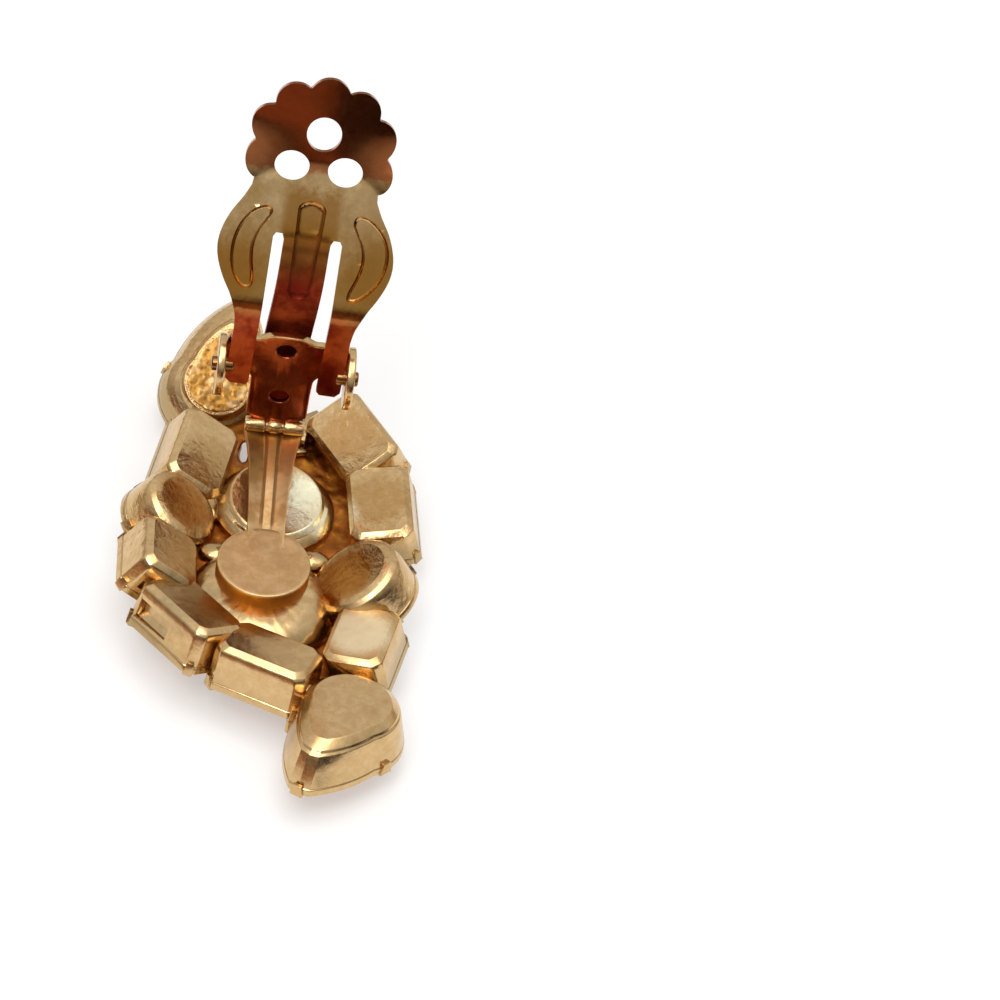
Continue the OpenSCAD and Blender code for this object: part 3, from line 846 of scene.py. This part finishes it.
def makeStem():
    s = stem
    rise = atan2(plate["low"] - 0.08 - pad["top"], plate["y"] - s["start"])
    length = (plate["y"] - s["start"]) / cos(rise) - 0.1
    obj = block((2, length, s["thick"]), (0, length / 2, s["thick"] / 2))
    ribEdge, grooveEdge, sideEdge = s["edges"]
    cutAcross(obj, [-sideEdge, -grooveEdge, -ribEdge, ribEdge, grooveEdge, sideEdge], (1, 0, 0))
    cutAcross(obj, [s["foot"], 0.7, 1.0] + [length * (0.2 + 0.08 * i) for i in range(10)], (0, 1, 0))
    editing()
    for low, high, sink in ((ribEdge, grooveEdge, s["groove"]), (grooveEdge, sideEdge, s["flank"])):
        pick("FACE", lambda p, n: n.z > 0.9 and low < abs(p.x) < high and p.y > s["foot"])
        bpy.ops.transform.translate(value=(0, 0, -sink))
    doneEditing()
    bevelEdges(obj, 0.035, 2, 20)

    def widen(x, y, z):
        t = max(0.0, min(1.0, y / length))
        half = s["widthLow"] / 2 + (s["widthHigh"] - s["widthLow"]) / 2 * (0.2 * t + 0.8 * t ** 3.5)
        # the rib ends in a small slope on the pad
        sink = 0.12 * max(0, 1 - y / 0.6) if abs(x) < 0.27 else 0.0
        return Vector((x * half, y, z - sink * (z > s["thick"] / 2)))

    moveVertices(obj, widen)
    place = Matrix.Translation((0, s["start"], pad["top"] - s["thick"] - 0.04)) @ Matrix.Rotation(rise, 4, "X")
    finishPiece(obj, "clipStem", stemGold, 32, place)


def bowed(x, y, z):
    # the plate's middle stands forwards a little
    return Vector((x, y, z + plate["bow"] * max(0, 1 - (x / plate["bowHalf"]) ** 2) - plate["bow"]))


def makePlate():
    p, w, low, high = plate, plate["half"], plate["wingLow"], plate["wingHigh"]
    right = [(w, p["low"] - 0.2), (w, low - 0.7), (w + 0.18, low - 0.25), (w + 0.6, low), (p["wing"], low),
             (p["wing"], high), (2.3, high), (1.75, high - 0.02), (1.4, high + 0.2), (1.05, p["humpTop"] - 0.08),
             (0.6, p["humpTop"])]
    outline = rounded(right + [(-x, z) for x, z in right[::-1]], 1)
    # x-y of the flat sheet become x-z of the standing plate
    standing = Matrix.Translation((0, p["y"], 0)) @ Matrix.Rotation(pi / 2, 4, "X")
    obj = sheetObject(outline, [(0, z, p["holeRadius"], p["holeSquash"]) for z in p["holes"]], p["sheet"])
    bevelEdges(obj, 0.1, 3, 40)
    cutAcross(obj, [0.37 * i for i in range(-4, 5)], (1, 0, 0))
    moveVertices(obj, bowed)
    finishPiece(obj, "hingePlate", goldRed, 40, standing)

    # the top edge is rolled over and keeps its polish
    top = [(x, z) for x, z in outline if z > high - 0.12 and abs(x) < 3.6]
    rim = sheetObject([(x, z + 0.03) for x, z in top] + [(x, z - 0.11) for x, z in top[::-1]], [], p["sheet"] + 0.06)
    bevelEdges(rim, 0.05, 2, 40)
    moveVertices(rim, bowed)
    finishPiece(rim, "hingeRim", goldSmooth, 40, standing)


def makeBend():
    # the bend between stem and plate, with a fold at each side of the rib
    b = stemBend
    middle = Vector((0, plate["y"] - b["back"], plate["low"] - b["down"]))
    obj = rod(32, b["radius"], 2 * plate["half"] - 0.06, middle, pi / 2)
    cutAcross(obj, [-x for x in b["folds"][::-1]] + list(b["folds"]), (1, 0, 0))

    def pinch(x, y, z):
        k = b["pinch"] if 0.4 < abs(x) < 0.52 else 1.0
        return Vector((x, middle.y + (y - middle.y) * k, middle.z + (z - middle.z) * k))

    moveVertices(obj, pinch)
    bevelEdges(obj, 0.06, 2, 40)
    finishPiece(obj, "clipBend", gold, 50)


def makeEars():
    e = earShape
    start, sweep = e["turn"]
    turns = [radians(start + i * (sweep / 40)) for i in range(41)]
    points = [(plate["y"] + plate["sheet"] / 2 - 0.05, z) for z in e["root"]]
    points += [(pivot.y + e["radius"] * cos(a), pivot.z + e["radius"] * sin(a)) for a in turns]
    upright = Matrix(((0, 0, 1, 0), (1, 0, 0, 0), (0, 1, 0, 0), (0, 0, 0, 1)))      # x-y become y-z
    for side, name in ((-1, "earLeft"), (1, "earRight")):
        obj = sheetObject(points, [(pivot.y, pivot.z, e["hole"], 1.0)], e["thick"])
        bevelEdges(obj, 0.1, 3, 40)
        place = Matrix.Translation((side * (e["inner"] + e["thick"] / 2), 0, 0)) @ upright
        finishPiece(obj, name, goldSmooth, 40, place)


makePad()
makeStem()
makePlate()
makeBend()
makeEars()
print("clip base made")


# paddle, drawn flat: x across, y up from the pivot

paddle = {"sheet": 0.45, "lean": 2, "legIn": 2.05, "legOut": 3.48, "foot": -1.1, "slotIn": 1.38, "slotTop": 8.4,
          "head": 13.4, "lobe": 1.25, "lobeRing": 3.22, "lobeStep": 35, "hole": 1.03, "flatAngle": 56,
          "legAngle": 86, "legLength": 4, "legBend": 1.4, "bodyAngle": 50.5, "headAngle": 67, "foldAt": 13.4,
          "foldCurve": 0.1, "foldLength": 0.6, "headRound": 10, "roundFrom": 11.4, "roundOver": 3.6}
paddlePin = {"radius": 0.44, "length": 1.34, "x": 3.74}
bodyEdge = [(2.6, 3.48), (3.5, 3.62), (4.4, 4.02), (5.4, 4.62), (6.4, 5.05), (7.3, 5.2), (8.2, 5.08), (9.2, 4.7),
            (10.2, 4.1), (11.1, 3.66)]                                       # height, half width
tongueRun = [(11.62, 20.3), (11.08, 19.4), (10.8, 18.4), (10.8, 17.3), (10.95, 16.2), (11.2, 15.1), (11.42, 14.0),
             (11.55, 13.0), (11.6, 11.6), (11.6, 8.0)]                        # y and z as it passes the plate


def smoothStep(t):
    t = max(0.0, min(1.0, t))
    return t * t * (3 - 2 * t)


def bodyAngle(y, x):
    p = paddle
    fold = p["foldAt"] - p["foldCurve"] * x * x
    low = p["legAngle"] + (p["bodyAngle"] - p["legAngle"]) * smoothStep((y - p["legLength"]) / p["legBend"])
    return low + (p["headAngle"] - p["bodyAngle"]) * smoothStep((y - fold) / p["foldLength"] + 0.5)


def bodyRun(x, below=-3, last=21, step=0.05):
    # the sheet's middle line from the foot up, for points at one distance from the middle:
    # height in the flat outline, then y, z and slope
    y, z, at = 0.0, 0.0, 0.0
    flatY, flatZ = cos(radians(paddle["flatAngle"])), sin(radians(paddle["flatAngle"]))
    foot = radians(paddle["legAngle"])
    run = [(below * (flatY * cos(foot) + flatZ * sin(foot)), below * cos(foot), below * sin(foot), foot),
           (0.0, 0.0, 0.0, foot)]
    while at < last:
        a = radians(bodyAngle(at + step / 2, x))
        y, z, at = y + step * cos(a), z + step * sin(a), at + step
        run.append((y * flatY + z * flatZ, y, z, a))
    return run


perRun = 4      # runs are kept for every quarter of a millimetre out from the middle
runs = {}


def alongRun(key, y):
    if key not in runs:
        runs[key] = bodyRun(key / perRun)
    run = runs[key]
    i = max(0, min(bisect([r[0] for r in run], y) - 1, len(run) - 2))
    t = (y - run[i][0]) / (run[i + 1][0] - run[i][0])
    return Vector([a + (b - a) * t for a, b in zip(run[i][1:], run[i + 1][1:])])


def bodyPoint(x, y):
    key = int(abs(x) * perRun)
    t = abs(x) * perRun - key
    place = alongRun(key, y) * (1 - t) + alongRun(key + 1, y) * t
    return pivot.y + place[0], pivot.z + place[1], place[2]


tongueTop = paddle["slotTop"]
tongueLine = smoothLine([bodyPoint(0, tongueTop + 0.6)[:2], bodyPoint(0, tongueTop)[:2]] + tongueRun, 8)[8:]


def tonguePoint(y):
    left = tongueTop - y
    for a, b in zip(tongueLine, tongueLine[1:]):
        length = hypot(b[0] - a[0], b[1] - a[1])
        if left <= length or b is tongueLine[-1]:
            t = left / length
            return a[0] + (b[0] - a[0]) * t, a[1] + (b[1] - a[1]) * t, atan2(a[1] - b[1], a[0] - b[0])
        left -= length


tongueLength = sum(hypot(b[0] - a[0], b[1] - a[1]) for a, b in zip(tongueLine, tongueLine[1:]))


def headOutline():
    p = paddle
    line = []
    for i in range(-59, 60):
        turn = radians(i * 2)
        reach = p["lobeRing"] + 0.1
        for k in range(-3, 4):
            off = turn - radians(k * p["lobeStep"])
            inside = p["lobe"] ** 2 - (p["lobeRing"] * sin(off)) ** 2
            if inside > 0 and cos(off) > 0:
                reach = max(reach, p["lobeRing"] * cos(off) + sqrt(inside))
        line.append((reach * sin(turn), p["head"] + reach * cos(turn)))
    return line


def paddleOutline():
    p = paddle
    edge = smoothLine([(x, y) for y, x in bodyEdge], 5)
    right = [(p["legOut"], p["foot"] + 0.3), (p["legOut"], 0.6), (p["legOut"], 1.8)] + edge[:-1]
    head = headOutline()[::-1]
    left = [(-x, y) for x, y in right[::-1]]
    foot = [(-p["legOut"] + 0.3, p["foot"]), (-p["legIn"] - 0.2, p["foot"]), (-p["legIn"], p["foot"] + 0.2)]
    slotUp = [(-p["legIn"], y) for y in (1, 3, 5, 7)]
    slotEnd = [(-p["legIn"], p["slotTop"] - 0.25), (-p["legIn"] + 0.14, p["slotTop"]),
               (-p["slotIn"] - 0.14, p["slotTop"]), (-p["slotIn"], p["slotTop"] - 0.25)]
    low = tongueTop - tongueLength + 0.05
    tongue = [(-p["slotIn"], low + 0.4), (-p["slotIn"] + 0.4, low)]
    leftSide = foot + slotUp + slotEnd + tongue
    return right + head + left + leftSide + [(-x, y) for x, y in leftSide[::-1]]


crescents = [
    [(-2.6, 10.0), (-3.4, 9.65), (-4.05, 8.8), (-4.4, 7.7), (-4.4, 6.6), (-4.1, 5.6), (-3.55, 4.95), (-3.1, 4.85),
     (-2.8, 5.15), (-2.85, 5.8), (-3.05, 6.7), (-3.1, 7.6), (-2.85, 8.5), (-2.4, 9.2), (-2.2, 9.7)],
    [(2.7, 10.1), (3.3, 10.1), (4.1, 9.6), (4.75, 8.7), (4.95, 7.6), (4.65, 6.4), (4.0, 5.5), (3.3, 4.95),
     (2.75, 5.0), (2.75, 5.5), (3.1, 6.3), (3.35, 7.3), (3.2, 8.3), (2.7, 9.1), (2.45, 9.6)],
]
crescentPan = {"depth": 0.24, "slope": 0.2}
rib = {"half": 0.84, "low": 4.3, "high": 10.55, "end": 0.6, "depth": 0.26, "slope": 0.3}


def ribOutline():
    r = rib
    turns = [pi * i / 12 for i in range(13)]
    points = [(r["half"] * cos(a), r["high"] - r["end"] + r["end"] * sin(a)) for a in turns]
    return points + [(-r["half"] * cos(a) * 0.8, r["low"] + r["end"] - r["end"] * sin(a)) for a in turns]


def panTool(outline, depth, slope, above=0.3):
    # a shallow pan with sloping walls, to be taken out of the sheet
    obj = ringObject(outline)
    obj.data.transform(Matrix.Translation((0, 0, paddle["sheet"] / 2 + above)))
    editing()
    selectAll()
    extrude(0, 0, -above)
    for part in (0.75, 0.25):
        bpy.ops.mesh.inset(thickness=slope / 2)
        bpy.ops.transform.translate(value=(0, 0, -depth * part))
    doneEditing()
    outwards(obj)
    return obj


def makePaddle():
    p = paddle
    holes = [(0, p["head"] + 1.15, p["hole"], 1.0), (-1.58, p["head"] - 0.95, p["hole"], 0.86),
             (1.58, p["head"] - 0.92, p["hole"], 0.86)]
    obj = sheetObject(paddleOutline(), holes, p["sheet"], 48)
    outwards(obj)
    for outline in crescents:
        subtract(obj, panTool(rounded(outline), crescentPan["depth"], crescentPan["slope"]))
    subtract(obj, panTool(ribOutline(), rib["depth"], rib["slope"]))
    bevelEdges(obj, 0.07, 2, 35)
    # enough cuts for the sheet to bend smoothly, closest at the fold of the head
    places = [0.3 * i for i in range(-4, 37)] + [11.2 + 0.12 * i for i in range(24)]
    places += [14.2 + 0.4 * i for i in range(9)] + [-1.6 - 0.4 * i for i in range(9)]
    cutAcross(obj, places, (0, 1, 0))
    cutAcross(obj, [0.5 * i for i in range(-9, 10)], (1, 0, 0))
    lean = radians(p["lean"])

    def bend(x, y, z):
        lx, ly = x * cos(lean) + y * sin(lean), y * cos(lean) - x * sin(lean)
        if abs(x) < p["slotIn"] + 0.1 and y < tongueTop:
            py, pz, angle = tonguePoint(y)
        else:
            py, pz, angle = bodyPoint(x, ly)
            # the head is rounded across, so its sides fall back
            z -= smoothStep((ly - p["roundFrom"]) / p["roundOver"]) * x * x / (2 * p["headRound"])
        return Vector((lx, py - z * sin(angle), pz + z * cos(angle)))

    moveVertices(obj, bend)
    outwards(obj)
    finishPiece(obj, "paddleSheet", paddleGold, 30, body="paddle", node="paddle")
    pins = []
    for side in (-1, 1):
        place = (side * paddlePin["x"], pivot.y, pivot.z)
        pins.append(rod(32, paddlePin["radius"], paddlePin["length"], place, pi / 2))
        bevelEdges(pins[-1], 0.1, 3, 40)
    finishPiece(join(pins), "paddlePins", pinBrown, 40, body="paddle", node="paddle")


makePaddle()
print("paddle made")


# stones keep their solids

for stone in [cup[1] for cup in cups]:
    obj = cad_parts[stone]
    glass = glassClear if "round" in stone else glassTopaz
    for slot in obj.material_slots:
        slot.material = glass
print("stones dressed")


# floor, light and camera

floorShape = {"middle": (0.02, 0.03, 0), "size": (0.17, 0.19), "glow": 0.42}      # in metres, as the lamp is
upperLight = [(0.52, (0.5,) * 3), (0.66, (0.55,) * 3), (0.84, (0.9,) * 3), (0.94, (2.8,) * 3), (1.0, (3.4,) * 3)]
studio = {
    # light over the sine of the height: on the far side, then on the camera's side to the left and right
    "far": [(0.0, (0.36, 0.28, 0.18)), (0.1, (0.45, 0.38, 0.3)), (0.22, (0.72, 0.7, 0.66)), (0.5, (0.74,) * 3),
            (0.7, (0.8,) * 3), (0.9, (0.95,) * 3), (0.96, (2.8,) * 3), (1.0, (3.4,) * 3)],
    "nearLeft": [(0.0, (0.5, 0.24, 0.13)), (0.1, (0.4, 0.18, 0.1)), (0.2, (0.1, 0.06, 0.04)),
                 (0.4, (0.3, 0.28, 0.25))] + upperLight,
    "nearRight": [(0.0, (0.03, 0.015, 0.015)), (0.16, (0.03, 0.02, 0.02)), (0.36, (0.30, 0.28, 0.25))] + upperLight,
    "leftToRight": (0.04, 0.09), "nearToFar": (-0.3, 0.3), "brightest": 4.0, "backdrop": (1.0, 1.0, 1.0),
}
softBox = {"place": (-0.12, -0.22, 0.4), "tilt": (32, -17, 0), "size": 0.16, "energy": 0.5}


def makeFloor():
    clearSelection()
    bpy.ops.mesh.primitive_grid_add(x_subdivisions=8, y_subdivisions=8, size=1)
    floor = bpy.context.object
    floor.data.transform(Matrix.Translation(floorShape["middle"]) @ Matrix.Diagonal((*floorShape["size"], 1, 1)))
    floor.name = "floor"
    f = Finish("paleFloor")
    grainy = f.noise(0.02, 2)
    f.set(Base_Color=f.mix(grainy, (0.52, 0.52, 0.52), (0.55, 0.55, 0.545)), Roughness=0.9,
          Specular_IOR_Level=0.1, Emission_Color=(1, 0.99, 0.97), Emission_Strength=floorShape["glow"])
    floor.data.materials.append(f.material)


def makeLight():
    # a wide soft sky that is darker at the horizon, with a plain pale backdrop for the camera
    world = bpy.data.worlds.new("studio")
    bpy.context.scene.world = world
    sky = Nodes(world)
    sky.place = sky.node("ShaderNodeTexCoord", out="Generated")
    x, y, z = sky.axes()

    def ramp(side):
        stops = [(at, [c / studio["brightest"] for c in tone]) for at, tone in studio[side]]
        return sky.node("ShaderNodeValToRGB", {"stops": stops}, {0: z}, out="Color")

    near = sky.mix(sky.spread(x, *studio["leftToRight"]), ramp("nearLeft"), ramp("nearRight"))
    light = sky.mix(sky.spread(y, *studio["nearToFar"]), near, ramp("far"))
    sky.tree.nodes.remove(sky.tree.nodes["Background"])
    shine = sky.node("ShaderNodeBackground", None, {"Color": light, "Strength": studio["brightest"]})
    pale = sky.node("ShaderNodeBackground", None, {"Color": studio["backdrop"], "Strength": 1.0})
    seen = sky.node("ShaderNodeLightPath", out="Is Camera Ray")
    shown = sky.node("ShaderNodeMixShader", None, {0: seen, 1: shine, 2: pale})
    sky.give(sky.tree.nodes["World Output"].inputs["Surface"], shown)

    clearSelection()
    bpy.ops.object.light_add(type="AREA", location=softBox["place"],
                             rotation=[radians(turn) for turn in softBox["tilt"]])
    lamp = bpy.context.object
    lamp.name = "softBox"
    lamp.data.size, lamp.data.energy = softBox["size"], softBox["energy"]


# the camera stands at the photograph's height and turn; lengths in millimetres
shot = {"elevation": 44.5, "azimuth": 9.0, "roll": 12.8, "distance": 220.0, "perPixel": 0.0595,
        "aim": (0, 0, 5.6), "aimPixel": (264, 562), "width": 1000, "sensor": 36}


def makeCamera():
    e, a, r = (radians(shot[k]) for k in ("elevation", "azimuth", "roll"))
    forward = Vector((sin(a) * cos(e), cos(a) * cos(e), -sin(e)))
    level = Vector((cos(a), -sin(a), 0))
    upright = level.cross(forward)
    right = level * cos(r) + upright * sin(r)
    up = upright * cos(r) - level * sin(r)
    half = shot["width"] / 2
    offX, offY = shot["aimPixel"][0] - half, shot["aimPixel"][1] - half
    place = (Vector(shot["aim"]) - forward * shot["distance"]
             - right * offX * shot["perPixel"] + up * offY * shot["perPixel"])
    clearSelection()
    bpy.ops.object.camera_add()
    camera = bpy.context.object
    camera.matrix_world = Matrix([*zip(right, up, -forward, [c / perMetre for c in place]), (0, 0, 0, 1)])
    camera.data.sensor_width = shot["sensor"]
    camera.data.lens = shot["sensor"] * shot["distance"] / (shot["width"] * shot["perPixel"])
    camera.data.clip_start, camera.data.clip_end = 0.005, 5
    bpy.context.scene.camera = camera


makeFloor()
makeLight()
makeCamera()
bpy.context.scene.view_settings.view_transform = "Standard"
clearSelection()
print("floor, light and camera set")
